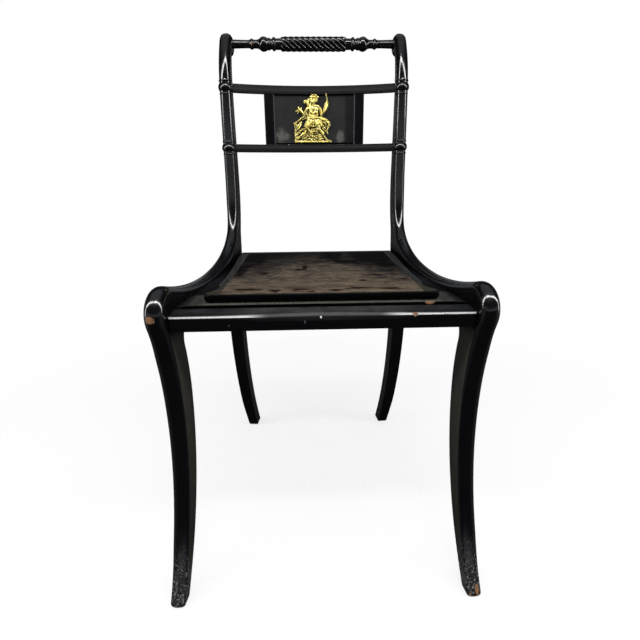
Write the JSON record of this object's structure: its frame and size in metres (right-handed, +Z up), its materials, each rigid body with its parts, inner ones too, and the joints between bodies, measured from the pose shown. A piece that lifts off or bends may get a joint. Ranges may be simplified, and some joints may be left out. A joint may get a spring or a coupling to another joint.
{
  "type": "sabre-leg side chair",
  "caption": "Black and gilt side chair with sabre legs, a rope-turned crest rail, a small tablet with a gilt figure between bowed cross rails, and a loose flat wooden seat.",
  "frame": {"origin": "on the floor, under the middle of the overall width and depth", "axes": "+Z up, -Y the way a sitter faces, +X the sitter's left"},
  "size_m": [0.453, 0.5582, 0.838],
  "materials": {
    "black_wood": "worn black japanning, semi-gloss",
    "worn_seat_wood": "worn dark brown, dull",
    "raw_beech": "bare, aged",
    "gilt_brass": "fire gilt, satin",
    "iron_screw": "darkened iron"
  },
  "bodies": {
    "frame": {"back_post_left": "black_wood", "back_post_right": "black_wood", "side_rail_left": "black_wood", "side_rail_right": "black_wood", "front_leg_left": "black_wood", "front_leg_right": "black_wood", "knee_tongue_left": "raw_beech", "knee_tongue_right": "raw_beech", "rail_dowels_left": "raw_beech", "rail_dowels_right": "raw_beech", "crest_rail": "black_wood", "upper_cross_rail": "black_wood", "lower_cross_rail": "black_wood", "muntin_left": "black_wood", "muntin_right": "black_wood", "tablet_panel": "black_wood", "gilt_mount": "gilt_brass", "mount_pins": "gilt_brass", "front_rail": "black_wood", "rear_rail": "black_wood", "ledge_front": "black_wood", "ledge_left": "black_wood", "ledge_right": "black_wood", "corner_block_front_left": "raw_beech", "corner_block_front_right": "raw_beech", "corner_block_rear_left": "raw_beech", "corner_block_rear_right": "raw_beech", "block_screws": "iron_screw"},
    "seat": {"seat_board": "worn_seat_wood", "seat_clamp_left": "black_wood", "seat_clamp_right": "black_wood", "seat_front_piece": "worn_seat_wood", "seat_back_strip": "black_wood", "seat_batten_front": "raw_beech", "seat_batten_rear": "raw_beech"}
  },
  "joints": [
    {"name": "seat_lift", "type": "slide", "parent": "frame", "child": "seat", "axis": [0, 0, 1], "range_m": [0, 0.08]}
  ]
}
